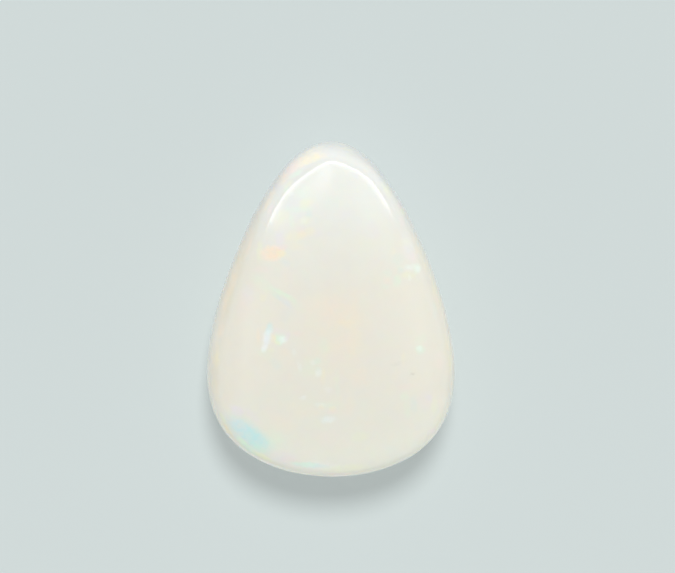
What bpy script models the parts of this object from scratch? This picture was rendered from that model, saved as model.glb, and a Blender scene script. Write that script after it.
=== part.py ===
"""A polished white opal in the shape of a pear, lying on its flat back with its face up.

Lengths are in metres. +Y runs from the broad end to the narrow tip, and +Z up through the face.
Run with: blender --background --python part.py
"""

from math import asin, atan2, cos, hypot, pi, sin

import bmesh
import bpy

MM = 0.001

# The stone's outer size.
LENGTH = 20.0 * MM
WIDTH = 14.8 * MM
THICKNESS = 6.2 * MM

# The wall: widest at the girdle, and turned over into the face at the shoulder.
GIRDLE_HEIGHT = 2.3 * MM
SHOULDER_HEIGHT = 4.9 * MM
BACK_EDGE_INSET = 1.1 * MM

# The shoulder's inset from the girdle at the two ends, and by what share of that it is wider
# along both sides and wider still on the left, where more of the stone was ground away.
SHOULDER_INSET = 0.38 * MM
SIDE_WIDENING = 0.6
LEFT_WIDENING = 0.4

# The girdle's half width, as a share of WIDTH / 2, is sin(turn) times a polynomial in
# cos(turn) with these terms. It draws a blunt broad end and a narrow round tip.
TAPER = (0.922, -0.371, 0.128)

# How many faces run along each edge of the cube that is blown up into the stone.
FACES_ALONG_EDGE = 22

NODE_NAME = "opal"
OPAL_COLOUR = (0.82, 0.78, 0.68, 1.0)
POLISH_ROUGHNESS = 0.12


def clear_scene():
    """Remove every object, so that the file holds only the stone."""
    for found in list(bpy.data.objects):
        bpy.data.objects.remove(found, do_unlink=True)


def girdle_point(turn):
    """The widest line round the stone, in plan. turn is 0 at the tip and pi at the broad end."""
    along = cos(turn)
    taper = sum(share * along**power for power, share in enumerate(TAPER))
    return WIDTH / 2 * sin(turn) * taper, LENGTH / 2 * along


def shoulder_inset(turn):
    """How far in from the girdle the shoulder is. sin(turn) is -1 on the stone's left."""
    side = sin(turn)
    return SHOULDER_INSET * (1 + SIDE_WIDENING * side * side - LEFT_WIDENING * side)


def profile_rings(inset):
    """Rings from the centre of the back to the centre of the face.

    Each is (share of the girdle's outline, inset from it, height), and the stone's section is
    a smooth curve that these rings pull towards themselves.
    """
    face_rise = THICKNESS - SHOULDER_HEIGHT
    back = [
        (0.00, 0.0, 0.0),
        (0.45, 0.0, 0.0),
        (0.85, 0.5 * BACK_EDGE_INSET, 0.0),
        (1.00, BACK_EDGE_INSET, 0.0),
        (1.00, 0.45 * BACK_EDGE_INSET, 0.0),
    ]
    wall = [
        (1.00, 0.08 * BACK_EDGE_INSET, 0.40 * GIRDLE_HEIGHT),
        (1.00, 0.0, GIRDLE_HEIGHT),
        (1.00, 0.12 * inset, 0.80 * SHOULDER_HEIGHT),
    ]
    face = [
        (1.00, inset, SHOULDER_HEIGHT),
        (0.90, inset, SHOULDER_HEIGHT + 0.38 * face_rise),
        (0.62, 0.5 * inset, SHOULDER_HEIGHT + 0.74 * face_rise),
        (0.32, 0.0, SHOULDER_HEIGHT + 0.96 * face_rise),
        (0.00, 0.0, THICKNESS),
    ]
    return back + wall + face


def beyond_the_pole(ring):
    """A ring's mirror image across the axis, which keeps the surface level at a pole."""
    share, inset, height = ring
    return -share, -inset, height


def spline_weights(t):
    """The uniform cubic B-spline's four weights, for t from 0 to 1 along one span."""
    return (
        (1 - t) ** 3 / 6,
        (3 * t**3 - 6 * t**2 + 4) / 6,
        (-3 * t**3 + 3 * t**2 + 3 * t + 1) / 6,
        t**3 / 6,
    )


def profile(turn, level):
    """Share, inset and height at a level, from 0 at the back's centre to 1 at the face's."""
    rings = profile_rings(shoulder_inset(turn))
    rings = [beyond_the_pole(rings[1]), *rings, beyond_the_pole(rings[-2])]
    spans = len(rings) - 3
    place = level * spans
    first = min(int(place), spans - 1)
    weights = spline_weights(place - first)
    near = rings[first : first + 4]
    return [sum(weight * ring[k] for weight, ring in zip(weights, near)) for k in range(3)]


def point_on_stone(direction):
    """The stone's surface point for a direction from the centre of a ball."""
    turn = atan2(direction.x, direction.y)
    latitude = asin(max(-1.0, min(1.0, direction.z)))
    share, inset, height = profile(turn, 0.5 + latitude / pi)
    girdle_x, girdle_y = girdle_point(turn)
    kept = share - inset / hypot(girdle_x, girdle_y)
    return girdle_x * kept, girdle_y * kept, height


def stretch_to_size(shape):
    """Scale the stone to measure exactly what its outer size says, its back on Z = 0."""
    for axis, wanted in enumerate((WIDTH, LENGTH, THICKNESS)):
        places = [vertex.co[axis] for vertex in shape.verts]
        factor = wanted / (max(places) - min(places))
        for vertex in shape.verts:
            vertex.co[axis] *= factor


def opal_material():
    """Milky white body with a bright polish."""
    material = bpy.data.materials.new("milky_opal")
    material.use_nodes = True
    shader = material.node_tree.nodes["Principled BSDF"]
    shader.inputs["Base Color"].default_value = OPAL_COLOUR
    shader.inputs["Roughness"].default_value = POLISH_ROUGHNESS
    shader.inputs["Metallic"].default_value = 0.0
    return material


def build_stone(collection):
    """Blow a cube up into a ball, then shape the ball into the stone."""
    shape = bmesh.new()
    bmesh.ops.create_cube(shape, size=2.0)
    bmesh.ops.subdivide_edges(
        shape, edges=shape.edges, cuts=FACES_ALONG_EDGE - 1, use_grid_fill=True
    )
    for vertex in shape.verts:
        vertex.co = point_on_stone(vertex.co.normalized())
    stretch_to_size(shape)
    mesh = bpy.data.meshes.new(NODE_NAME)
    shape.to_mesh(mesh)
    shape.free()
    mesh.materials.append(opal_material())
    mesh.shade_smooth()
    collection.objects.link(bpy.data.objects.new(NODE_NAME, mesh))


def main():
    clear_scene()
    collection = bpy.data.collections.new("white_opal")
    bpy.context.scene.collection.children.link(collection)
    build_stone(collection)


main()
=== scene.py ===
"""A polished white opal with play of colour, lying on a pale floor.

The stone lies on its flat back, and the camera looks down on its face from above its tip.
Lengths are in metres, except where a name ends in _mm. Names that end in _px are pixels of the
photograph, counted from its top left corner. Colours are linear.
"""

import logging
from dataclasses import dataclass
from enum import Enum
from math import asin, atan2, cos, degrees, exp, hypot, pi, radians, sin

import bmesh
import bpy
from mathutils import Matrix, Vector, noise
from mathutils.bvhtree import BVHTree


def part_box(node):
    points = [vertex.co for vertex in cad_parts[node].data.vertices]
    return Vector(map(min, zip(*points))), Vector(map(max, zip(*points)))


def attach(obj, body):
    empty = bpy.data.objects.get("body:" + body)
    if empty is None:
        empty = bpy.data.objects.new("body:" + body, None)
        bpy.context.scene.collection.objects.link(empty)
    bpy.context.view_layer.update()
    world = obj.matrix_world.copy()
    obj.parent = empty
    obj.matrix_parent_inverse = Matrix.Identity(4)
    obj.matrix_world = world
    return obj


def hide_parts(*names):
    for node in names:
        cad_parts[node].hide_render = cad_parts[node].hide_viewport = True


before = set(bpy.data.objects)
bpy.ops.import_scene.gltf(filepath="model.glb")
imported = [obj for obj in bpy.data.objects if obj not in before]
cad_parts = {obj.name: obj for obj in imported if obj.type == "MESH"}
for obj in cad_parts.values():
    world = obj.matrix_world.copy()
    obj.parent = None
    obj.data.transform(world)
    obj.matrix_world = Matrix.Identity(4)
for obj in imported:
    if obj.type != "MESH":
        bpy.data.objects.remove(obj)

MM = 0.001
NODE = "opal"
BODY = "root"
SLOT = "milky_opal"
PHOTO_WIDTH_PX = 675
PHOTO_HEIGHT_PX = 573

Colour = tuple[float, float, float]
Span = tuple[float, float]
Socket = bpy.types.NodeSocket

log = logging.getLogger("opal")


class Hue(Enum):
    """The colours that the opal's flashes show, and those of painted shade, as linear RGB."""

    CORAL = (1.00, 0.81, 0.68)
    ORANGE = (1.00, 0.83, 0.61)
    GOLD = (0.99, 0.89, 0.57)
    LIME = (0.90, 0.95, 0.60)
    GREEN = (0.73, 0.95, 0.76)
    CYAN = (0.58, 0.84, 0.85)
    BLUE = (0.68, 0.79, 0.95)
    VIOLET = (0.84, 0.76, 0.92)
    ROSE = (0.97, 0.75, 0.76)
    ICE = (0.93, 0.98, 0.98)
    PEARL = (1.00, 0.94, 0.82)
    # the brown of painted shade on the left wall
    UMBER_SHADE = (0.80, 0.64, 0.40)
    SMOKE = (0.46, 0.40, 0.33)


@dataclass(frozen=True)
class Flash:
    """One patch of colour, a soft ellipsoid where the stone's surface passes through it.

    x_mm and y_mm place it in plan, reach_mm and width_mm are its half axes, and turn_deg
    turns it about the vertical. Where hue is None, the stone's own grains flash there.
    """

    hue: Hue | None
    x_mm: float
    y_mm: float
    reach_mm: float
    width_mm: float
    turn_deg: float
    strength: float
    height_mm: float = 5.6
    depth_mm: float = 2.2


@dataclass(frozen=True)
class Fleck:
    """One patch of colour as the photograph shows it.

    across_px and down_px are its middle, reach_px and width_px are its half axes, and turn_deg
    turns it anticlockwise.
    """

    hue: Hue
    across_px: float
    down_px: float
    reach_px: float
    width_px: float
    turn_deg: float
    strength: float


@dataclass(frozen=True)
class FleckArea:
    """Flecks that lie together on one part of the stone.

    height_mm is where their colour is strongest, spread makes up for their soft edges, and gain
    sets how strong they all are.
    """

    height_mm: float
    spread: float
    gain: float
    flecks: tuple[Fleck, ...]


class NodeDesk:
    """Short ways to place and join shader nodes in one node tree."""

    def __init__(self, tree: bpy.types.NodeTree) -> None:
        """Take the tree that the nodes go into."""
        self.tree = tree

    def place(self, kind: str, **settings: object) -> bpy.types.Node:
        """Add a node.

        Args:
            kind: the node's type name without the ShaderNode in front.
            settings: the node's own properties.

        Returns:
            The new node.
        """
        node = self.tree.nodes.new("ShaderNode" + kind)
        for name, value in settings.items():
            setattr(node, name, value)
        return node

    def feed(self, socket: Socket, value: object) -> None:
        """Link a socket to another, or set it to a plain value.

        Args:
            socket: the input to fill.
            value: an output socket, a number, or three numbers for a colour or a vector.
        """
        if isinstance(value, bpy.types.NodeSocket):
            self.tree.links.new(value, socket)
        elif isinstance(value, tuple) and socket.type == "RGBA":
            socket.default_value = (*value, 1.0)
        else:
            socket.default_value = value

    def fill(self, node: bpy.types.Node, **terms: object) -> bpy.types.Node:
        """Feed several named inputs of a node.

        Args:
            node: the node.
            terms: what goes into each input, with _ for the spaces in the input's name.

        Returns:
            The same node.
        """
        for name, term in terms.items():
            self.feed(node.inputs[name.replace("_", " ")], term)
        return node

    def maths(self, operation: str, *terms: object) -> Socket:
        """Put terms through a Math node.

        Args:
            operation: the node's operation.
            terms: the numbers or sockets that go in, in order.

        Returns:
            The resulting number.
        """
        node = self.place("Math", operation=operation)
        for socket, term in zip(node.inputs, terms):
            self.feed(socket, term)
        return node.outputs[0]

    def vector(self, operation: str, *terms: object) -> Socket:
        """Put terms through a Vector Math node.

        Args:
            operation: the node's operation.
            terms: the vectors or sockets that go in, in order.

        Returns:
            The resulting vector.
        """
        node = self.place("VectorMath", operation=operation)
        for socket, term in zip(node.inputs, terms):
            self.feed(socket, term)
        return node.outputs["Vector"]

    def stretch(self, value: object, low: object, high: object, to_low: float = 0.0,
                to_high: float = 1.0) -> Socket:
        """Carry a value from one range to another with eased ends.

        Args:
            value: what goes in.
            low: the value that becomes to_low.
            high: the value that becomes to_high.
            to_low: the result at low and beyond.
            to_high: the result at high and beyond.

        Returns:
            The carried value.
        """
        node = self.place("MapRange", interpolation_type="SMOOTHSTEP")
        self.fill(node, Value=value, From_Min=low, From_Max=high, To_Min=to_low, To_Max=to_high)
        return node.outputs["Result"]

    def blend(self, share: object, under: object, over: object) -> Socket:
        """Lay one colour over another.

        Args:
            share: how much of the upper colour shows, from 0 to 1.
            under: the lower colour.
            over: the upper colour.

        Returns:
            The blended colour.
        """
        node = self.place("Mix", data_type="RGBA", clamp_factor=True)
        self.feed(node.inputs["Factor"], share)
        colours = [socket for socket in node.inputs if socket.type == "RGBA"]
        self.feed(colours[0], under)
        self.feed(colours[1], over)
        return next(socket for socket in node.outputs if socket.type == "RGBA")

    def mix(self, share: object, first: object, second: object) -> Socket:
        """Go from one number to another.

        Args:
            share: 0 for the first, 1 for the second.
            first: the first number.
            second: the second number.

        Returns:
            The number between them.
        """
        node = self.place("Mix", data_type="FLOAT")
        return self.fill(node, Factor=share, A=first, B=second).outputs[0]

    def noise(self, point: object, scale: float, detail: float = 2.0) -> bpy.types.Node:
        """Place smooth noise, whose Fac and Color run from about 0.2 to 0.8.

        Args:
            point: where the noise is read.
            scale: how many lumps there are in each unit of the point.
            detail: how many finer layers it has.

        Returns:
            The noise node.
        """
        return self.fill(self.place("TexNoise"), Vector=point, Scale=scale, Detail=detail)


class FlashGroup:
    """The node group that masks one soft ellipsoid of colour."""

    NAME = "opal_flash"
    SOFT_EDGE = 0.75

    def build(self) -> bpy.types.ShaderNodeTree:
        """Make the group.

        Returns:
            The node tree, whose Mask runs from 0 outside the ellipsoid to Strength inside it.
        """
        tree = bpy.data.node_groups.new(self.NAME, "ShaderNodeTree")
        for name, kind in (("Point", "NodeSocketVector"), ("Centre", "NodeSocketVector"),
                           ("Turn", "NodeSocketVector"), ("Half Axes", "NodeSocketVector"),
                           ("Strength", "NodeSocketFloat"), ("Grain", "NodeSocketFloat")):
            tree.interface.new_socket(name, in_out="INPUT", socket_type=kind)
        tree.interface.new_socket("Mask", in_out="OUTPUT", socket_type="NodeSocketFloat")
        desk = NodeDesk(tree)
        given = tree.nodes.new("NodeGroupInput").outputs
        result = tree.nodes.new("NodeGroupOutput").inputs
        local = desk.fill(desk.place("Mapping", vector_type="TEXTURE"), Vector=given["Point"],
                          Location=given["Centre"], Rotation=given["Turn"],
                          Scale=given["Half Axes"])
        ball = desk.place("TexGradient", gradient_type="SPHERICAL")
        desk.feed(ball.inputs["Vector"], local.outputs["Vector"])
        inside = desk.stretch(ball.outputs["Fac"], 0.0, self.SOFT_EDGE)
        grained = desk.maths("MULTIPLY", inside, given["Grain"])
        desk.feed(result["Mask"], desk.maths("MULTIPLY", grained, given["Strength"]))
        return tree


class FireGroup:
    """The node group that breaks the stone into small grains, some of which flash."""

    NAME = "opal_fire"
    GRAIN_HUES = (Hue.CORAL, Hue.GOLD, Hue.LIME, Hue.GREEN, Hue.CYAN, Hue.VIOLET)
    GRAIN_EDGE = 0.55
    GRAIN_CORE = 0.15

    def build(self) -> bpy.types.ShaderNodeTree:
        """Make the group.

        Returns:
            The node tree, which puts out each grain's colour and a mask of those that flash.
        """
        tree = bpy.data.node_groups.new(self.NAME, "ShaderNodeTree")
        for name, kind in (("Point", "NodeSocketVector"), ("Grains per mm", "NodeSocketFloat"),
                           ("Dark Share", "NodeSocketFloat")):
            tree.interface.new_socket(name, in_out="INPUT", socket_type=kind)
        tree.interface.new_socket("Color", in_out="OUTPUT", socket_type="NodeSocketColor")
        tree.interface.new_socket("Mask", in_out="OUTPUT", socket_type="NodeSocketFloat")
        desk = NodeDesk(tree)
        given = tree.nodes.new("NodeGroupInput").outputs
        result = tree.nodes.new("NodeGroupOutput").inputs
        grains = desk.fill(desk.place("TexVoronoi", feature="F1"), Vector=given["Point"],
                           Scale=given["Grains per mm"])
        chance = desk.place("SeparateColor")
        desk.feed(chance.inputs["Color"], grains.outputs["Color"])
        ramp = desk.place("ValToRGB")
        ramp.color_ramp.interpolation = "EASE"
        stops = ramp.color_ramp.elements
        while len(stops) < len(self.GRAIN_HUES):
            stops.new(0.5)
        for number, (stop, hue) in enumerate(zip(stops, self.GRAIN_HUES)):
            stop.position = number / (len(self.GRAIN_HUES) - 1)
            stop.color = (*hue.value, 1.0)
        desk.feed(ramp.inputs["Fac"], chance.outputs["Red"])
        desk.feed(result["Color"], ramp.outputs["Color"])
        lit = desk.stretch(chance.outputs["Green"], given["Dark Share"], 1.0)
        core = desk.stretch(grains.outputs["Distance"], self.GRAIN_EDGE, self.GRAIN_CORE)
        desk.feed(result["Mask"], desk.maths("MULTIPLY", lit, core))
        return tree


@dataclass
class PhotoCamera:
    """A long lens that looks down on the face, tilted a little towards the stone's tip."""

    tilt_deg: float = 8.0
    distance: float = 167.2 * MM
    lens_mm: float = 150.0
    sensor_mm: float = 36.0
    aim_right: float = 0.40 * MM
    aim_up: float = 1.42 * MM
    aim_height: float = 3.1 * MM

    def build(self) -> bpy.types.Object:
        """Place the camera and make it the scene's own.

        Returns:
            The camera's object.
        """
        data = bpy.data.cameras.new("photo_camera")
        data.lens = self.lens_mm
        data.sensor_width = self.sensor_mm
        data.clip_start = 1.0 * MM
        camera = bpy.data.objects.new("photo_camera", data)
        camera.matrix_world = Matrix.Translation(self.eye()) @ self.axes().to_4x4()
        bpy.context.scene.collection.objects.link(camera)
        bpy.context.scene.camera = camera
        log.info("camera: %.0f mm lens at %.0f mm", self.lens_mm, self.distance / MM)
        return camera

    def axes(self) -> Matrix:
        """Find the camera's own directions.

        Returns:
            A matrix whose columns point right, up and back from the camera.
        """
        tilt = radians(self.tilt_deg)
        back = Vector((0.0, sin(tilt), cos(tilt)))
        up = Vector((0.0, cos(tilt), -sin(tilt)))
        return Matrix((up.cross(back), up, back)).transposed()

    def eye(self) -> Vector:
        """Return where the camera stands."""
        offset = Vector((self.aim_right, self.aim_up, self.distance))
        return Vector((0.0, 0.0, self.aim_height)) + self.axes() @ offset

    def pixel_slope(self) -> float:
        """Return how far a ray moves sideways for each pixel and each metre of depth."""
        return self.sensor_mm / self.lens_mm / PHOTO_WIDTH_PX

    def point_seen(self, skin: BVHTree, across_px: float, down_px: float) -> Vector:
        """Find the point of the stone that shows at a pixel of the photograph.

        Args:
            skin: the stone's surface.
            across_px: the pixel's place from the left.
            down_px: the pixel's place from the top.

        Returns:
            The point, or the nearest one of the stone where the pixel is just outside it.
        """
        eye = self.eye()
        side = (across_px + 0.5 - PHOTO_WIDTH_PX / 2) * self.pixel_slope()
        rise = (PHOTO_HEIGHT_PX / 2 - down_px - 0.5) * self.pixel_slope()
        ray = self.axes() @ Vector((side, rise, -1.0))
        point = skin.ray_cast(eye, ray)[0]
        if point is None:
            point = skin.find_nearest(eye + ray * (eye.z - self.aim_height) / -ray.z)[0]
        return point


class PlayOfColour:
    """Every flash of the stone: the flecks of the photograph and wide ones out of its sight."""

    # the rainbow band on the wall left of the tip
    TIP_WALL = FleckArea(height_mm=4.2, spread=1.42, gain=0.85, flecks=(
        Fleck(Hue.PEARL, 303, 157, 26, 8, 33, 0.5),
        Fleck(Hue.ROSE, 289, 168, 10, 5, 46, 0.46),
        Fleck(Hue.CORAL, 302, 162, 13, 3.8, 30, 0.34),
        Fleck(Hue.GOLD, 312, 158.5, 12, 3.8, 22, 0.34),
        Fleck(Hue.ORANGE, 320, 156, 9, 3.2, 14, 0.26),
        Fleck(Hue.ORANGE, 283, 178, 8, 4, 55, 0.35),
        Fleck(Hue.GREEN, 296, 173, 7, 2.5, 30, 0.4),
        Fleck(Hue.LIME, 288, 184, 6, 2.5, 45, 0.35),
        Fleck(Hue.GREEN, 286, 189, 3.5, 2.5, 30, 0.34),
        Fleck(Hue.ORANGE, 268, 200, 13, 3, 62, 0.4),
        Fleck(Hue.ROSE, 270, 209, 6, 2.5, 70, 0.3),
        Fleck(Hue.GREEN, 271, 221, 5, 2.5, 70, 0.18),
        Fleck(Hue.LIME, 349, 148, 9, 4, -18, 0.14),
        Fleck(Hue.ORANGE, 366, 166, 14, 5, -38, 0.1),
        Fleck(Hue.LIME, 386, 189, 9, 3, -58, 0.35),
        Fleck(Hue.ROSE, 399, 204, 5, 2.5, -65, 0.35),
        Fleck(Hue.LIME, 402, 211, 4, 2.5, -65, 0.35),
        Fleck(Hue.ROSE, 401, 221, 5, 3, -68, 0.25),
    ))
    # the orange flashes down the left wall, and painted shade there: brown bands and one wide grey
    # darkening
    LEFT_WALL_FIRE_AND_SHADE = FleckArea(height_mm=4.2, spread=1.25, gain=0.8, flecks=(
        Fleck(Hue.UMBER_SHADE, 251, 230, 32, 6, 66, 0.22),
        Fleck(Hue.CORAL, 248, 248, 15, 2.5, 72, 0.3),
        Fleck(Hue.UMBER_SHADE, 236, 268, 30, 8, 70, 0.27),
        Fleck(Hue.ORANGE, 232, 283, 14, 4, 72, 0.28),
        Fleck(Hue.UMBER_SHADE, 225, 305, 28, 8, 77, 0.27),
        Fleck(Hue.ORANGE, 225, 302, 17, 3, 77, 0.26),
        Fleck(Hue.CORAL, 221, 330, 9, 4, 82, 0.3),
        Fleck(Hue.ORANGE, 217, 342, 22, 3.5, 85, 0.2),
        Fleck(Hue.GOLD, 216, 359, 11, 3.5, 88, 0.3),
        Fleck(Hue.UMBER_SHADE, 214, 372, 26, 7, 90, 0.16),
        Fleck(Hue.ORANGE, 216, 392, 16, 4, -84, 0.2),
        Fleck(Hue.LIME, 223, 418, 8, 3, -60, 0.45),
        # painted shade: a wide grey darkening of the left side
        Fleck(Hue.SMOKE, 236, 352, 60, 11, 86, 0.075),
    ))
    # the coral spot and its lilac and green neighbours
    CORAL_SPOT = FleckArea(height_mm=5.6, spread=1.42, gain=0.9, flecks=(
        Fleck(Hue.CORAL, 271, 253, 10.5, 7, 4, 1.1),
        Fleck(Hue.GOLD, 281, 253, 4.5, 4.5, 10, 0.36),
        Fleck(Hue.ROSE, 282, 247, 6, 3, 25, 0.28),
        Fleck(Hue.VIOLET, 279, 238, 9, 5, 84, 0.3),
        Fleck(Hue.LIME, 259, 250, 11, 3, 86, 0.22),
        Fleck(Hue.ROSE, 262, 269, 10, 3, 5, 0.15),
        Fleck(Hue.BLUE, 285, 262, 4, 5, 60, 0.15),
    ))
    # the green and gold flecks inside the arc of light
    GREEN_FLECKS = FleckArea(height_mm=5.6, spread=1.42, gain=0.68, flecks=(
        Fleck(Hue.LIME, 305, 203, 7, 5, 20, 0.26),
        Fleck(Hue.LIME, 282, 216, 9, 6, 40, 0.22),
        Fleck(Hue.GREEN, 301, 209, 13, 3.5, 5, 0.25),
        Fleck(Hue.BLUE, 295, 214, 8, 6, 20, 0.16),
        Fleck(Hue.ICE, 304, 220, 4, 3, 30, 0.3),
        Fleck(Hue.LIME, 306, 220, 6, 4, 20, 0.26),
        Fleck(Hue.GREEN, 291, 221, 3, 6, 0, 0.25),
        Fleck(Hue.BLUE, 292, 203, 8, 6, 30, 0.12),
        Fleck(Hue.CYAN, 309, 214, 4, 4, 0, 0.22),
        Fleck(Hue.GOLD, 294, 236, 10, 5, 5, 0.26),
        Fleck(Hue.ORANGE, 301, 234, 5, 4, 0, 0.2),
        Fleck(Hue.GOLD, 309, 231, 7, 4.5, 15, 0.24),
        Fleck(Hue.GOLD, 296, 246, 9, 4, 0, 0.15),
        Fleck(Hue.VIOLET, 317, 233, 5, 6, 0, 0.15),
        Fleck(Hue.ROSE, 300, 229, 5, 4, 0, 0.2),
        Fleck(Hue.ICE, 290, 193, 3.5, 2.5, 30, 0.25),
        Fleck(Hue.GREEN, 301, 191, 8, 6, 20, 0.18),
        Fleck(Hue.GREEN, 332, 203, 9, 7, 10, 0.1),
        Fleck(Hue.VIOLET, 347, 213, 8, 7, 0, 0.1),
    ))
    # the streak, shard and patches on the left of the face
    LEFT_FACE = FleckArea(height_mm=5.6, spread=1.42, gain=0.72, flecks=(
        Fleck(Hue.GREEN, 264, 284, 15, 6, -30, 0.24),
        Fleck(Hue.GREEN, 279, 292, 9, 3, -28, 0.46),
        Fleck(Hue.GREEN, 289, 298, 8, 3, -32, 0.36),
        Fleck(Hue.CYAN, 276, 296, 6, 2.6, -34, 0.3),
        Fleck(Hue.BLUE, 285, 302, 8, 3.2, -36, 0.24),
        Fleck(Hue.BLUE, 287, 312, 8, 10, -10, 0.12),
        Fleck(Hue.GREEN, 299, 307, 8, 5, -50, 0.14),
        Fleck(Hue.ROSE, 287, 275, 6, 9, 0, 0.14),
        Fleck(Hue.VIOLET, 247, 294, 8, 9, 0, 0.22),
        Fleck(Hue.ROSE, 242, 310, 7, 14, 0, 0.15),
        Fleck(Hue.CYAN, 269, 329, 7, 3.6, 76, 0.6),
        Fleck(Hue.ICE, 267, 337, 11.5, 4.2, 73, 0.72),
        Fleck(Hue.BLUE, 267, 339, 6, 3.2, 72, 0.22),
        Fleck(Hue.ICE, 264, 348, 4.5, 3.2, 60, 0.5),
        Fleck(Hue.GREEN, 279.5, 338.5, 7, 6, 15, 0.75),
        Fleck(Hue.ICE, 282.5, 339, 5, 4.4, -20, 0.68),
        Fleck(Hue.VIOLET, 280, 331, 8, 4, -8, 0.22),
        Fleck(Hue.VIOLET, 287, 336, 2.5, 5, -15, 0.35),
        Fleck(Hue.ORANGE, 273.5, 338, 2.6, 5, 0, 0.4),
        Fleck(Hue.GOLD, 277, 342, 3, 2.5, 0, 0.3),
        Fleck(Hue.ORANGE, 284, 351, 8, 5, -20, 0.16),
        Fleck(Hue.ORANGE, 258, 335, 2.5, 7, 0, 0.25),
        Fleck(Hue.LIME, 271, 350, 3, 2.5, 0, 0.16),
        Fleck(Hue.CYAN, 275, 363, 8, 4.5, -35, 0.14),
        Fleck(Hue.GREEN, 264, 353, 9, 4.5, -20, 0.16),
    ))
    # the flecks below the middle of the face
    LOW_FACE = FleckArea(height_mm=5.6, spread=1.42, gain=0.72, flecks=(
        Fleck(Hue.GREEN, 323, 345, 6, 9, 10, 0.22),
        Fleck(Hue.GREEN, 314, 365, 14, 11, 0, 0.2),
        Fleck(Hue.ICE, 318, 372, 3.5, 5, -15, 0.42),
        Fleck(Hue.ICE, 313, 362, 3, 3, 0, 0.3),
        Fleck(Hue.GREEN, 306, 372, 8, 7, 0, 0.14),
        Fleck(Hue.GOLD, 323, 376, 2.6, 9, 0, 0.2),
        Fleck(Hue.GREEN, 337, 384, 2.8, 15, 0, 0.14),
        Fleck(Hue.GREEN, 326, 404, 12, 4, 0, 0.16),
        Fleck(Hue.ICE, 320, 404, 6, 2.4, 0, 0.26),
        Fleck(Hue.ICE, 328, 419, 7, 3.6, 3, 0.5),
        Fleck(Hue.CYAN, 326, 418, 10, 5, 3, 0.1),
        Fleck(Hue.ROSE, 331, 411, 6, 3, 0, 0.24),
        Fleck(Hue.ICE, 302, 397, 3.5, 2.4, 15, 0.4),
        Fleck(Hue.ICE, 299, 366, 2.6, 5, 15, 0.26),
        Fleck(Hue.ICE, 294, 352, 2.4, 4, 10, 0.24),
        Fleck(Hue.ICE, 327, 389, 3.5, 3.5, 0, 0.2),
        Fleck(Hue.ORANGE, 350, 405, 5, 10, 0, 0.14),
        Fleck(Hue.CORAL, 360, 377, 11, 10, 0, 0.22),
        Fleck(Hue.ORANGE, 354, 330, 8, 34, 0, 0.16),
        Fleck(Hue.CORAL, 328, 309, 24, 16, -12, 0.2),
        Fleck(Hue.ORANGE, 335, 335, 34, 50, -5, 0.16),
        Fleck(Hue.GOLD, 344, 323, 10, 4.5, 0, 0.16),
        Fleck(Hue.CORAL, 343, 345, 10, 9, 0, 0.12),
        Fleck(Hue.ROSE, 297, 333, 7, 3, 0, 0.22),
        Fleck(Hue.ROSE, 330, 436, 16, 8, 0, 0.16),
        Fleck(Hue.LIME, 359, 436, 9, 5, 0, 0.18),
        Fleck(Hue.ROSE, 343, 443, 10, 5, 0, 0.12),
        Fleck(Hue.GOLD, 300, 410, 16, 9, 0, 0.12),
        Fleck(Hue.CORAL, 284, 422, 14, 9, -20, 0.16),
    ))
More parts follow.
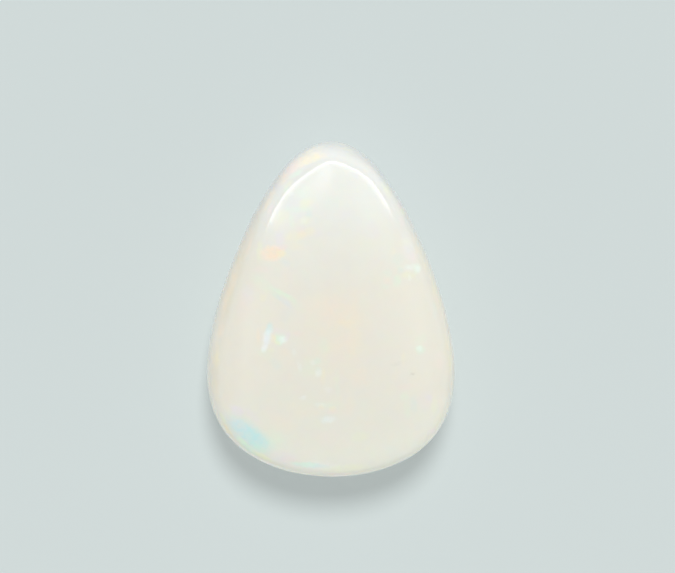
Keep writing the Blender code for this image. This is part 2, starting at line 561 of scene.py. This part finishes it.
    # the cluster near the right edge and the flecks below it
    RIGHT_FACE = FleckArea(height_mm=5.6, spread=1.42, gain=0.68, flecks=(
        Fleck(Hue.ORANGE, 415, 238, 2.6, 7, 20, 0.4),
        Fleck(Hue.ORANGE, 418, 252, 2.6, 8, 12, 0.3),
        Fleck(Hue.ROSE, 412, 256, 5, 6, 20, 0.32),
        Fleck(Hue.ICE, 407, 246, 7, 14, 15, 0.22),
        Fleck(Hue.VIOLET, 408, 250, 6, 12, 15, 0.14),
        Fleck(Hue.ICE, 408, 267, 7, 4, 3, 0.25),
        Fleck(Hue.GREEN, 405, 266, 10, 3, 3, 0.16),
        Fleck(Hue.ICE, 411, 266, 6, 3, 0, 0.25),
        Fleck(Hue.GREEN, 417.5, 268, 4.4, 5, -10, 0.42),
        Fleck(Hue.ICE, 418, 268, 3.4, 4, 0, 0.4),
        Fleck(Hue.LIME, 408, 274.5, 8, 4.2, 3, 0.28),
        Fleck(Hue.ICE, 409, 278, 2, 3.5, 0, 0.28),
        Fleck(Hue.GREEN, 396.5, 280, 4, 6, 0, 0.4),
        Fleck(Hue.CORAL, 386, 279, 4, 5, 0, 0.22),
        Fleck(Hue.GREEN, 386, 286, 6, 3, 0, 0.22),
        Fleck(Hue.GREEN, 387, 273, 5, 4, 0, 0.22),
        Fleck(Hue.CYAN, 397, 259, 6, 6, 0, 0.16),
        Fleck(Hue.LIME, 404, 242, 6, 4, 0, 0.2),
        Fleck(Hue.VIOLET, 372, 231, 9, 9, 0, 0.12),
        Fleck(Hue.LIME, 367, 246, 16, 10, 0, 0.1),
        Fleck(Hue.GREEN, 420, 349, 5, 4.4, -5, 0.5),
        Fleck(Hue.ICE, 419, 348, 3.4, 3, 0, 0.4),
        Fleck(Hue.GREEN, 420, 339, 7, 5, 0, 0.18),
        Fleck(Hue.ROSE, 440, 360, 8, 9, 0, 0.24),
        Fleck(Hue.SMOKE, 397, 363, 9, 2.4, 14, 0.07),
        Fleck(Hue.GOLD, 403, 358, 2.4, 8, 0, 0.18),
        Fleck(Hue.ROSE, 407, 386, 10, 3, 0, 0.18),
        Fleck(Hue.GREEN, 403, 396, 5, 5, 0, 0.28),
        Fleck(Hue.GREEN, 406, 409, 3.5, 8, 0, 0.2),
        Fleck(Hue.CYAN, 413, 405, 4, 10, 0, 0.2),
        Fleck(Hue.VIOLET, 425, 400, 8, 10, 0, 0.2),
        Fleck(Hue.LIME, 434, 405, 3, 10, 0, 0.24),
        Fleck(Hue.CORAL, 441, 405, 4, 10, 5, 0.18),
        Fleck(Hue.VIOLET, 430, 432, 5, 3, 35, 0.45),
        Fleck(Hue.ROSE, 433, 430, 4, 3, 35, 0.3),
        Fleck(Hue.GOLD, 425, 437, 8, 4, 38, 0.26),
    ))
    # the faint tints on the right wall
    RIGHT_WALL = FleckArea(height_mm=4.2, spread=1.42, gain=0.8, flecks=(
        Fleck(Hue.GOLD, 427, 266, 20, 5, -68, 0.14),
        Fleck(Hue.ORANGE, 437, 299, 14, 4, -76, 0.3),
        Fleck(Hue.CORAL, 443, 314, 7, 4, -80, 0.3),
        Fleck(Hue.CYAN, 434, 310, 9, 2.5, -82, 0.14),
        Fleck(Hue.LIME, 434, 288, 9, 2.6, -74, 0.24),
        Fleck(Hue.GOLD, 447, 352, 26, 4, -88, 0.2),
        Fleck(Hue.LIME, 450, 362, 12, 2.5, -90, 0.2),
        Fleck(Hue.GOLD, 438, 420, 12, 4, 62, 0.22),
        Fleck(Hue.LIME, 418, 450, 9, 3, 38, 0.25),
        Fleck(Hue.LIME, 387, 465, 12, 3, 18, 0.22),
    ))
    # the wide cyan flash and the thin coloured rim at the broad end
    BROAD_END = FleckArea(height_mm=5.0, spread=1.25, gain=1.0, flecks=(
        Fleck(Hue.CYAN, 249, 434, 30, 13, -38, 0.6),
        Fleck(Hue.BLUE, 238, 424, 11, 7, -38, 0.22),
        Fleck(Hue.CYAN, 253, 437, 17, 10, -38, 0.5),
        Fleck(Hue.GREEN, 258, 447, 14, 5, -34, 0.28),
        Fleck(Hue.VIOLET, 236, 410, 9, 6, -30, 0.34),
        Fleck(Hue.VIOLET, 250, 414, 14, 5, -35, 0.18),
        Fleck(Hue.GREEN, 274, 440, 14, 12, -30, 0.22),
        Fleck(Hue.VIOLET, 284, 456, 16, 8, -14, 0.16),
        Fleck(Hue.GREEN, 246, 446.5, 13, 4.4, -40, 0.75),
        Fleck(Hue.GREEN, 242, 441, 8, 3, -44, 0.5),
        Fleck(Hue.GOLD, 242, 446, 12, 2.2, -44, 0.12),
        Fleck(Hue.LIME, 262, 456, 12, 3, -30, 0.42),
        Fleck(Hue.ORANGE, 262, 462.5, 18, 1.8, -26, 0.25),
        Fleck(Hue.GOLD, 228, 431, 13, 2.8, -58, 0.5),
        Fleck(Hue.ROSE, 288, 458, 8, 5, 0, 0.14),
        Fleck(Hue.CYAN, 311, 465, 18, 3.2, -4, 0.46),
        Fleck(Hue.GREEN, 304, 464, 14, 3.2, -7, 0.46),
        Fleck(Hue.ICE, 318, 466, 28, 6, -2, 0.3),
        Fleck(Hue.LIME, 345, 468, 30, 5, 3, 0.22),
        Fleck(Hue.ROSE, 337, 473.5, 16, 2, 2, 0.35),
    ))
    # painted shade of a small pit in the polish, a dark spot in the colour
    PIT_SHADE = FleckArea(height_mm=5.6, spread=1.42, gain=1.0, flecks=(
        Fleck(Hue.SMOKE, 412, 373, 2.8, 1.65, -6, 0.18),
    ))
    SEEN = (TIP_WALL, LEFT_WALL_FIRE_AND_SHADE, RIGHT_WALL, BROAD_END, GREEN_FLECKS, LEFT_FACE, LOW_FACE,
            RIGHT_FACE, CORAL_SPOT)
    # where the stone's own small grains flash
    GRAIN_WINDOWS = (
        Flash(None, -1.75, 6.20, 1.90, 1.30, 10, 0.45),
        Flash(None, 4.40, 3.20, 1.20, 2.10, 15, 0.45),
        Flash(None, -0.50, -3.80, 1.30, 3.00, 10, 0.35),
        Flash(None, -3.60, 0.90, 2.10, 2.60, 0, 0.15),
        Flash(None, 5.60, -5.40, 1.50, 2.00, 0, 0.25),
        Flash(None, -7.20, -1.00, 2.20, 7.00, 0, 0.50, height_mm=1.9, depth_mm=2.6),
        Flash(None, 7.20, -2.50, 2.20, 6.00, 0, 0.55, height_mm=1.9, depth_mm=2.6),
        Flash(None, 1.00, -9.80, 6.00, 2.20, 0, 0.60, height_mm=1.9, depth_mm=2.6),
        Flash(None, 0.50, 9.00, 3.40, 2.40, 0, 0.45, height_mm=1.9, depth_mm=2.6),
    )
    # wide flashes low on the walls and across the back
    HIDDEN_SIDES = (
        Flash(Hue.GREEN, 3.20, -9.30, 2.40, 1.00, 12, 0.45, height_mm=2.4, depth_mm=1.5),
        Flash(Hue.CYAN, -1.90, -9.70, 1.80, 0.90, -8, 0.50, height_mm=2.0, depth_mm=1.3),
        Flash(Hue.GOLD, 5.90, -6.60, 1.60, 0.80, 55, 0.40, height_mm=2.6, depth_mm=1.2),
        Flash(Hue.CORAL, 7.30, -1.60, 1.30, 0.80, 88, 0.45, height_mm=1.8, depth_mm=1.1),
        Flash(Hue.LIME, 6.60, 1.80, 1.80, 0.80, -72, 0.40, height_mm=2.4, depth_mm=1.2),
        Flash(Hue.BLUE, 3.30, 7.60, 1.60, 0.80, -50, 0.40, height_mm=2.2, depth_mm=1.3),
        Flash(Hue.ORANGE, -5.20, 4.20, 2.00, 0.80, 64, 0.40, height_mm=2.0, depth_mm=1.2),
        Flash(Hue.GREEN, -7.20, -0.60, 1.90, 0.80, 84, 0.45, height_mm=2.0, depth_mm=1.2),
        Flash(Hue.VIOLET, -6.60, -5.40, 1.60, 0.80, -62, 0.40, height_mm=2.2, depth_mm=1.2),
        Flash(Hue.GREEN, -1.50, -3.50, 3.40, 1.60, 35, 0.40, height_mm=0.0, depth_mm=1.0),
        Flash(Hue.CYAN, 2.60, 1.20, 2.60, 1.30, -40, 0.40, height_mm=0.0, depth_mm=1.0),
        Flash(Hue.CORAL, -1.20, 4.60, 1.60, 1.00, 20, 0.35, height_mm=0.0, depth_mm=1.0),
    )

    def __init__(self, camera: PhotoCamera, skin: BVHTree) -> None:
        """Carry every fleck of the photograph to the stone.

        Args:
            camera: the camera that sees the stone as the photograph does.
            skin: the stone's surface.
        """
        self.camera = camera
        self.skin = skin
        self.flashes = list(self.HIDDEN_SIDES)
        for area in self.SEEN:
            self.flashes += self.on_stone(area)
        self.pit_shades = self.on_stone(self.PIT_SHADE)

    def on_stone(self, area: FleckArea) -> list[Flash]:
        """Turn an area's flecks into flashes where the camera sees them on the stone.

        Args:
            area: the flecks.

        Returns:
            One flash for each fleck.
        """
        mm_per_px = self.camera.pixel_slope() * self.camera.distance / MM * area.spread
        flashes = []
        for fleck in area.flecks:
            point = self.camera.point_seen(self.skin, fleck.across_px, fleck.down_px) / MM
            flashes.append(Flash(
                fleck.hue, point.x, point.y, fleck.reach_px * mm_per_px,
                fleck.width_px * mm_per_px, fleck.turn_deg, fleck.strength * area.gain,
                height_mm=area.height_mm,
            ))
        return flashes


@dataclass(frozen=True)
class MilkyOpal:
    """The finish of polished white opal: a milky body, soft clouds, play of colour, and painted
    light and shade on its shoulder and walls.

    Each span of places along the stone or heights on it runs from where a colour starts to
    where it has taken over.
    """

    body: Colour = (0.838, 0.815, 0.74)
    # whiter towards the tip: partly the stone's own tint, partly a painted sheen of the light above
    # the tip
    tip: Colour = (0.84, 0.85, 0.81)
    broad_end: Colour = (0.835, 0.83, 0.75)
    wall: Colour = (0.845, 0.81, 0.745)
    # painted shade on the wall at the tip, and painted light on the wall at the broad end
    tip_wall_painted_shade: Colour = (0.74, 0.73, 0.725)
    broad_wall_painted_light: Colour = (0.95, 0.94, 0.87)
    # multipliers on the shoulder's colour: painted shade there, deeper at the tip, and painted light
    # at the broad end
    shoulder: Colour = (0.95, 0.94, 0.93)
    tip_shoulder_painted_shade: Colour = (0.91, 0.905, 0.92)
    broad_shoulder_painted_light: Colour = (1.03, 1.03, 1.03)
    tip_face_mm: Span = (0.5, 8.0)
    broad_face_mm: Span = (-2.5, -8.0)
    # where along the stone the painted light and shade of the walls and shoulder change
    tip_edge_mm: Span = (2.0, 8.5)
    broad_edge_mm: Span = (-3.5, -8.0)
    shoulder_shade_height_mm: Span = (5.7, 5.05)
    wall_height_mm: Span = (4.9, 4.2)
    cloud_drift_mm: float = 5.0
    clouds_per_mm: float = 0.35
    mottle: float = 0.04
    mottles_per_mm: float = 1.1
    fine_detail: float = 3.0
    shift_noise: tuple[Span, ...] = ((1.3, 0.26), (5.5, 0.16))
    noise_span: Span = (0.3, 0.7)
    flash_grain: Span = (0.70, 1.15)
    flash_grains_per_mm: float = 3.0
    fire_grains_per_mm: float = 1.7
    fire_dark_share: float = 0.35
    refraction: float = 1.45
    polish: Span = (0.05, 0.10)
    polish_marks_per_mm: float = 0.8
    depth_mm: float = 2.4
    depth_tint: Colour = (1.0, 0.88, 0.72)

    def build(self, play: PlayOfColour) -> bpy.types.Material:
        """Make the material.

        Args:
            play: the stone's flashes and the painted shade of its pit.

        Returns:
            The finished material, which reads only the stone's own coordinates.
        """
        material = bpy.data.materials.new(SLOT)
        material.use_nodes = True
        desk = NodeDesk(material.node_tree)
        shader = material.node_tree.nodes["Principled BSDF"]
        place = desk.place("TexCoord")
        point = desk.vector("MULTIPLY", place.outputs["Object"], Vector((1.0, 1.0, 1.0)) / MM)
        uneven = self.uneven(desk, point)
        colour = self.flashes(desk, uneven, play, self.milk(desk, point))
        # paint the pit's shade over the colour
        for pit in play.pit_shades:
            colour = desk.blend(self.mask(desk, uneven, pit, 1.0), colour, pit.hue.value)
        desk.feed(shader.inputs["Base Color"], colour)
        marks = desk.noise(point, self.polish_marks_per_mm).outputs["Fac"]
        desk.feed(shader.inputs["Roughness"], desk.stretch(marks, *self.noise_span, *self.polish))
        shader.inputs["IOR"].default_value = self.refraction
        shader.inputs["Subsurface Weight"].default_value = 1.0
        shader.inputs["Subsurface Radius"].default_value = self.depth_tint
        shader.inputs["Subsurface Scale"].default_value = self.depth_mm * MM
        return material

    def uneven(self, desk: NodeDesk, point: Socket) -> Socket:
        """Shift each point a little, so that the flashes have uneven edges.

        Args:
            desk: the material's nodes.
            point: the place on the stone in millimetres.

        Returns:
            The shifted place.
        """
        for lumps_per_mm, shift_mm in self.shift_noise:
            lumps = desk.noise(point, lumps_per_mm).outputs["Color"]
            middle = desk.vector("SUBTRACT", lumps, (0.5, 0.5, 0.5))
            shift = desk.vector("MULTIPLY", middle, (shift_mm, shift_mm, shift_mm))
            point = desk.vector("ADD", point, shift)
        return point

    def milk(self, desk: NodeDesk, point: Socket) -> Socket:
        """Colour the body: whiter at the tip, partly as a painted sheen, greener at the broad end,
        with painted light and shade on the shoulder and walls.

        Args:
            desk: the material's nodes.
            point: the place on the stone in millimetres.

        Returns:
            The body colour without its flashes.
        """
        split = desk.place("SeparateXYZ")
        desk.feed(split.inputs[0], point)
        along, height = split.outputs["Y"], split.outputs["Z"]
        clouds = desk.noise(point, self.clouds_per_mm, self.fine_detail).outputs["Fac"]
        cloud = desk.maths("SUBTRACT", clouds, 0.5)
        drifted = desk.maths("MULTIPLY_ADD", cloud, self.cloud_drift_mm, along)
        # whiter towards the tip, partly a painted sheen
        colour = desk.blend(desk.stretch(drifted, *self.tip_face_mm), self.body, self.tip)
        colour = desk.blend(desk.stretch(drifted, *self.broad_face_mm), colour, self.broad_end)
        near_tip = desk.stretch(along, *self.tip_edge_mm)
        near_broad_end = desk.stretch(along, *self.broad_edge_mm)
        # the wall's colour, with painted shade at the tip and painted light at the broad end
        wall = desk.blend(near_tip, self.wall, self.tip_wall_painted_shade)
        wall = desk.blend(near_broad_end, wall, self.broad_wall_painted_light)
        # painted shade on the shoulder, deeper at the tip, turning to painted light at the broad end
        shade = desk.blend(near_tip, self.shoulder, self.tip_shoulder_painted_shade)
        shade = desk.blend(near_broad_end, shade, self.broad_shoulder_painted_light)
        shaded = desk.vector("MULTIPLY", colour, shade)
        colour = desk.blend(desk.stretch(height, *self.shoulder_shade_height_mm), colour, shaded)
        colour = desk.blend(desk.stretch(height, *self.wall_height_mm), colour, wall)
        mottles = desk.noise(point, self.mottles_per_mm, self.fine_detail).outputs["Color"]
        share = self.mottle
        least = 1.0 - share / 2
        tint = desk.vector("MULTIPLY_ADD", mottles, (share, share, share), (least, least, least))
        return desk.vector("MULTIPLY", colour, tint)

    def mask(self, desk: NodeDesk, point: Socket, flash: Flash, grain: object) -> Socket:
        """Place the flash group for one flash.

        Args:
            desk: the material's nodes.
            point: the place on the stone in millimetres.
            flash: the flash.
            grain: what breaks its strength up.

        Returns:
            The flash's mask.
        """
        group = desk.place("Group", node_tree=bpy.data.node_groups[FlashGroup.NAME])
        return desk.fill(
            group, Point=point, Centre=(flash.x_mm, flash.y_mm, flash.height_mm),
            Turn=(0.0, 0.0, radians(flash.turn_deg)),
            Half_Axes=(flash.reach_mm, flash.width_mm, flash.depth_mm),
            Strength=flash.strength, Grain=grain,
        ).outputs["Mask"]

    def flashes(self, desk: NodeDesk, point: Socket, play: PlayOfColour,
                colour: Socket) -> Socket:
        """Lay every flash over the body colour, one after another.

        Args:
            desk: the material's nodes.
            point: the place on the stone in millimetres, shifted a little.
            play: the stone's flashes.
            colour: the body colour.

        Returns:
            The colour with its flashes.
        """
        fire = desk.place("Group", node_tree=bpy.data.node_groups[FireGroup.NAME])
        desk.fill(fire, Point=point, Grains_per_mm=self.fire_grains_per_mm,
                  Dark_Share=self.fire_dark_share)
        for window in play.GRAIN_WINDOWS:
            mask = self.mask(desk, point, window, fire.outputs["Mask"])
            colour = desk.blend(mask, colour, fire.outputs["Color"])
        grains = desk.noise(point, self.flash_grains_per_mm).outputs["Fac"]
        grain = desk.stretch(grains, *self.noise_span, *self.flash_grain)
        for flash in play.flashes:
            colour = desk.blend(self.mask(desk, point, flash, grain), colour, flash.hue.value)
        return colour


@dataclass(frozen=True)
class Grinding:
    """A stretch of the shoulder that the hand grinding has moved in or out.

    turn_deg is its direction from the tip, negative on the left, and spread_deg its half width.
    """

    turn_deg: float
    spread_deg: float
    inset_mm: float

    def inset_at(self, turn: float) -> float:
        """Return how far the shoulder is moved in at a direction."""
        steps = (degrees(turn) - self.turn_deg) / self.spread_deg
        return self.inset_mm * MM * exp(-steps * steps)


@dataclass
class OpalStone:
    """The stone: a pear in plan, with a flat back, rounded walls and a low domed face.

    +Y runs from the broad end to the tip. The shoulder, where the wall turns over into the
    face, is wider on the left, and the grinding has left it a little uneven.
    """

    length: float = 20.0 * MM
    width: float = 14.8 * MM
    thickness: float = 6.2 * MM
    girdle_height: float = 2.3 * MM
    shoulder_height: float = 4.9 * MM
    back_edge_inset: float = 1.1 * MM
    shoulder_inset: float = 0.38 * MM
    side_widening: float = 0.6
    left_widening: float = 0.4
    taper: tuple[float, ...] = (0.922, -0.371, 0.128)
    grinding: tuple[Grinding, ...] = (
        Grinding(-42, 25, -0.24),
        Grinding(-19, 18, 0.32),
        Grinding(13, 11, 0.16),
        Grinding(44, 21, -0.21),
    )
    faces_along_edge: int = 100
    hand_wave: float = 0.02 * MM
    hand_wave_length: float = 3.5 * MM

    def build(self) -> bpy.types.Object:
        """Blow a cube up into a ball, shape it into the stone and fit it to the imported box.

        Returns:
            The stone's object, with no material yet.
        """
        shape = bmesh.new()
        bmesh.ops.create_cube(shape, size=2.0)
        bmesh.ops.subdivide_edges(
            shape, edges=shape.edges, cuts=self.faces_along_edge - 1, use_grid_fill=True
        )
        for vertex in shape.verts:
            vertex.co = self.point_on_stone(vertex.co.normalized())
        self.fit_to_frame(shape)
        mesh = bpy.data.meshes.new("opal_stone")
        shape.to_mesh(mesh)
        shape.free()
        mesh.shade_smooth()
        stone = bpy.data.objects.new("opal_stone", mesh)
        bpy.context.scene.collection.objects.link(stone)
        return stone

    def dress(self, stone: bpy.types.Object, finish: MilkyOpal, camera: PhotoCamera) -> None:
        """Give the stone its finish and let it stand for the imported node.

        Args:
            stone: the stone's object.
            finish: what it is made of.
            camera: the camera that sees its flecks where the photograph shows them.
        """
        mesh = stone.data
        places = [vertex.co for vertex in mesh.vertices]
        skin = BVHTree.FromPolygons(places, [face.vertices for face in mesh.polygons])
        mesh.materials.append(finish.build(PlayOfColour(camera, skin)))
        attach(stone, BODY)
        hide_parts(NODE)
        log.info("stone: %d faces", len(mesh.polygons))

    def girdle_point(self, turn: float) -> tuple[float, float]:
        """Follow the widest line round the stone.

        Args:
            turn: the direction in plan, 0 at the tip.

        Returns:
            The line's x and y there.
        """
        along = cos(turn)
        taper = sum(share * along**power for power, share in enumerate(self.taper))
        return self.width / 2 * sin(turn) * taper, self.length / 2 * along

    def inset_at(self, turn: float) -> float:
        """Find how far in from the girdle the shoulder is.

        Args:
            turn: the direction in plan, 0 at the tip, whose sine is -1 on the left.

        Returns:
            The shoulder's inset.
        """
        side = sin(turn)
        even = self.shoulder_inset * (1 + self.side_widening * side * side
                                      - self.left_widening * side)
        return even + sum(stretch.inset_at(turn) for stretch in self.grinding)

    def rings(self, inset: float) -> list[tuple[float, float, float]]:
        """List the rings that pull the section's curve, from the back's centre to the face's.

        Args:
            inset: how far in from the girdle the shoulder is.

        Returns:
            Rings of share of the girdle's outline, inset from it and height.
        """
        rise = self.thickness - self.shoulder_height
        edge = self.back_edge_inset
        back = [(0.45, 0.0, 0.0), (0.85, 0.5 * edge, 0.0), (1.0, edge, 0.0), (1.0, 0.45 * edge, 0.0)]
        wall = [
            (1.0, 0.08 * edge, 0.40 * self.girdle_height),
            (1.0, 0.0, self.girdle_height),
            (1.0, 0.12 * inset, 0.80 * self.shoulder_height),
        ]
        face = [
            (1.00, inset, self.shoulder_height),
            (0.90, inset, self.shoulder_height + 0.38 * rise),
            (0.62, 0.5 * inset, self.shoulder_height + 0.74 * rise),
            (0.32, 0.0, self.shoulder_height + 0.96 * rise),
        ]
        mirrored_back = (-back[0][0], -back[0][1], back[0][2])
        mirrored_face = (-face[-1][0], -face[-1][1], face[-1][2])
        poles = (0.0, 0.0, 0.0), (0.0, 0.0, self.thickness)
        return [mirrored_back, poles[0], *back, *wall, *face, poles[1], mirrored_face]

    def section(self, turn: float, level: float) -> list[float]:
        """Follow the section's smooth curve.

        Args:
            turn: the direction in plan.
            level: how far along the curve, from 0 at the back's centre to 1 at the face's.

        Returns:
            Share of the girdle's outline, inset from it and height.
        """
        rings = self.rings(self.inset_at(turn))
        spans = len(rings) - 3
        place = level * spans
        first = min(int(place), spans - 1)
        t = place - first
        weights = (
            (1 - t) ** 3 / 6,
            (3 * t**3 - 6 * t**2 + 4) / 6,
            (-3 * t**3 + 3 * t**2 + 3 * t + 1) / 6,
            t**3 / 6,
        )
        near = rings[first : first + 4]
        return [sum(weight * ring[k] for weight, ring in zip(weights, near)) for k in range(3)]

    def point_on_stone(self, direction: Vector) -> Vector:
        """Find the surface point for a direction from the centre of a ball.

        Args:
            direction: the direction, of length 1.

        Returns:
            The point on the stone.
        """
        turn = atan2(direction.x, direction.y)
        latitude = asin(max(-1.0, min(1.0, direction.z)))
        share, inset, height = self.section(turn, 0.5 + latitude / pi)
        girdle_x, girdle_y = self.girdle_point(turn)
        kept = share - inset / hypot(girdle_x, girdle_y)
        point = Vector((girdle_x * kept, girdle_y * kept, height))
        wave = noise.noise(point / self.hand_wave_length)
        lift = min(1.0, height / self.girdle_height)
        return point + direction * (self.hand_wave * wave * lift)

    def fit_to_frame(self, shape: bmesh.types.BMesh) -> None:
        """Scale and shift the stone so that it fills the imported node's box exactly.

        Args:
            shape: the stone's mesh.
        """
        low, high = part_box(NODE)
        for axis in range(3):
            places = [vertex.co[axis] for vertex in shape.verts]
            start = min(places)
            factor = (high[axis] - low[axis]) / (max(places) - start)
            for vertex in shape.verts:
                vertex.co[axis] = low[axis] + (vertex.co[axis] - start) * factor


@dataclass
class StudioFloor:
    """A wide, plain, pale floor that isn't part of the object."""

    size: float = 4.0
    gap: float = 0.01 * MM
    colour: Colour = (0.37, 0.405, 0.403)
    glow: Colour = (0.27, 0.297, 0.294)

    def build(self) -> bpy.types.Object:
        """Make the floor just under the stone and mark it as stage.

        Returns:
            The floor's object.
        """
        shape = bmesh.new()
        bmesh.ops.create_grid(shape, x_segments=1, y_segments=1, size=self.size / 2)
        mesh = bpy.data.meshes.new("floor")
        shape.to_mesh(mesh)
        shape.free()
        floor = bpy.data.objects.new("floor", mesh)
        floor.location.z = -self.gap
        bpy.context.scene.collection.objects.link(floor)
        material = bpy.data.materials.new("pale_floor")
        material.use_nodes = True
        shader = material.node_tree.nodes["Principled BSDF"]
        shader.inputs["Base Color"].default_value = (*self.colour, 1.0)
        shader.inputs["Roughness"].default_value = 1.0
        shader.inputs["Specular IOR Level"].default_value = 0.0
        shader.inputs["Emission Color"].default_value = (*self.glow, 1.0)
        shader.inputs["Emission Strength"].default_value = 1.0
        mesh.materials.append(material)
        log.info("floor: %.1f m wide", self.size)
        return floor


@dataclass
class StudioLight:
    """A soft main light from above the tip, low fill, and a curved softbox for the polish.

    The curved softbox is a band of the sky that only the polish mirrors. It has a crisp lower
    edge and fades towards the zenith, so that the shoulder shows one thin bright arc with a
    veil inside it. Each span of up or along is a share of the sky's direction, from 0 at the
    horizon to 1 at the zenith or from -1 at the broad end's side to 1 at the tip's.
    """

    tint: Colour = (0.985, 1.0, 0.995)
    main_strength: float = 2.40
    main_tilt_deg: float = 33.0
    main_turn_deg: float = 6.0
    main_spread_deg: float = 18.0
    sky_strength: float = 0.28
    fill_strength: float = 1.9
    fill_behind_tip: float = 0.20
    fill_up: Span = (0.50, 0.0)
    fill_along: Span = (0.75, -0.75)
    mirror_sky_strength: float = 0.50
    mirror_horizon_strength: float = 0.40
    mirror_horizon_up: Span = (0.45, 0.10)
    mirror_veil_strength: float = 0.8
    mirror_veil_up: Span = (0.88, 0.975)
    mirror_band_strength: float = 5.2
    mirror_band_edge_up: Span = (0.53, 0.58)
    mirror_band_fade_up: Span = (0.60, 0.97)
    mirror_band_fade_power: float = 3.0
    mirror_band_along: Span = (0.245, 0.42)
    mirror_band_lean: float = 0.047
    mirror_window_strength: float = 1.9
    mirror_window_tilt_deg: float = 29.5
    mirror_window_turn_deg: float = -19.0
    mirror_window_reach_deg: Span = (16.0, 3.0)

    def build(self) -> None:
        """Make the main light and the sky."""
        self.build_main()
        self.build_sky()
        log.info("light: %.2f main, %.2f sky, %.2f band", self.main_strength,
                 self.sky_strength, self.mirror_band_strength)

    def towards(self, tilt_deg: float, turn_deg: float) -> Vector:
        """Find a direction in the sky.

        Args:
            tilt_deg: how far it is from straight up.
            turn_deg: how far it is turned from the tip's side, negative to the left.

        Returns:
            The direction, of length 1.
        """
        tilt, turn = radians(tilt_deg), radians(turn_deg)
        return Vector((sin(tilt) * sin(turn), sin(tilt) * cos(turn), cos(tilt)))

    def build_main(self) -> bpy.types.Object:
        """Hang the main light over the tip, so far away that its rays are parallel.

        Returns:
            The light's object.
        """
        data = bpy.data.lights.new("main_light", "SUN")
        data.energy = self.main_strength
        data.angle = radians(self.main_spread_deg)
        data.color = self.tint
        light = bpy.data.objects.new("main_light", data)
        towards = self.towards(self.main_tilt_deg, self.main_turn_deg)
        light.rotation_euler = towards.to_track_quat("Z", "Y").to_euler()
        light.visible_glossy = False
        bpy.context.scene.collection.objects.link(light)
        return light

    def build_sky(self) -> bpy.types.World:
        """Make the sky: one for soft light, and one that the polish mirrors.

        Returns:
            The scene's world.
        """
        world = bpy.data.worlds.new("soft_studio")
        bpy.context.scene.world = world
        world.cycles.sampling_method = "NONE"
        world.use_nodes = True
        tree = world.node_tree
        desk = NodeDesk(tree)
        direction = desk.place("TexCoord").outputs["Generated"]
        split = desk.place("SeparateXYZ")
        desk.feed(split.inputs[0], direction)
        up = split.outputs["Z"]
        soft = desk.maths("ADD", self.sky_strength, self.fill(desk, split.outputs["Y"], up))
        horizon = desk.stretch(up, *self.mirror_horizon_up, self.mirror_sky_strength,
                               self.mirror_sky_strength + self.mirror_horizon_strength)
        lights = desk.maths("ADD", self.band(desk, *split.outputs), self.window(desk, direction))
        mirrored = desk.maths("ADD", horizon, lights)
        glossy = desk.place("LightPath").outputs["Is Glossy Ray"]
        background = tree.nodes["Background"]
        desk.feed(background.inputs["Color"], self.tint)
        desk.feed(background.inputs["Strength"], desk.mix(glossy, soft, mirrored))
        return world

    def fill(self, desk: NodeDesk, along: Socket, up: Socket) -> Socket:
        """Make the low fill, strongest on the side of the broad end.

        Args:
            desk: the sky's nodes.
            along: the sky direction's share towards the tip.
            up: its share upwards.

        Returns:
            The fill's strength.
        """
        low = desk.stretch(up, *self.fill_up)
        side = desk.stretch(along, *self.fill_along, self.fill_behind_tip)
        return desk.maths("MULTIPLY", desk.maths("MULTIPLY", low, side), self.fill_strength)

    def band(self, desk: NodeDesk, across: Socket, along: Socket, up: Socket) -> Socket:
        """Make the curved softbox that only the polish mirrors.

        Args:
            desk: the sky's nodes.
            across: the sky direction's share towards the right.
            along: its share towards the tip.
            up: its share upwards.

        Returns:
            The softbox's strength.
        """
        flat = desk.maths("SQRT", desk.maths("ADD", desk.maths("MULTIPLY", across, across),
                                             desk.maths("MULTIPLY", along, along)))
        edge = desk.stretch(up, *self.mirror_band_edge_up)
        fade = desk.maths("POWER", desk.stretch(up, *self.mirror_band_fade_up, 1.0, 0.0),
                          self.mirror_band_fade_power)
        veil = desk.stretch(up, *self.mirror_veil_up, self.mirror_veil_strength, 0.0)
        glow = desk.maths("MULTIPLY_ADD", fade, self.mirror_band_strength, veil)
        leaning = desk.maths("MULTIPLY_ADD", across, -self.mirror_band_lean, along)
        sides = desk.stretch(desk.maths("DIVIDE", leaning, flat), *self.mirror_band_along)
        return desk.maths("MULTIPLY", desk.maths("MULTIPLY", edge, glow), sides)

    def window(self, desk: NodeDesk, direction: Socket) -> Socket:
        """Make the soft round window that widens the veil next to the tip.

        Args:
            desk: the sky's nodes.
            direction: the sky's direction.

        Returns:
            The window's strength.
        """
        middle = self.towards(self.mirror_window_tilt_deg, self.mirror_window_turn_deg)
        facing = desk.place("VectorMath", operation="DOT_PRODUCT")
        desk.feed(facing.inputs[0], direction)
        desk.feed(facing.inputs[1], tuple(middle))
        rim, core = (cos(radians(reach)) for reach in self.mirror_window_reach_deg)
        return desk.stretch(facing.outputs["Value"], rim, core, 0.0, self.mirror_window_strength)


def main() -> None:
    """Build the scene piece by piece."""
    logging.basicConfig(level=logging.INFO, format="%(name)s: %(message)s")
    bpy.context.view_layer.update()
    bpy.context.scene.view_settings.view_transform = "Standard"
    FlashGroup().build()
    FireGroup().build()
    camera = PhotoCamera()
    camera.build()
    stone = OpalStone()
    stone.dress(stone.build(), MilkyOpal(), camera)
    StudioFloor().build()
    StudioLight().build()


if __name__ == "__main__":
    main()
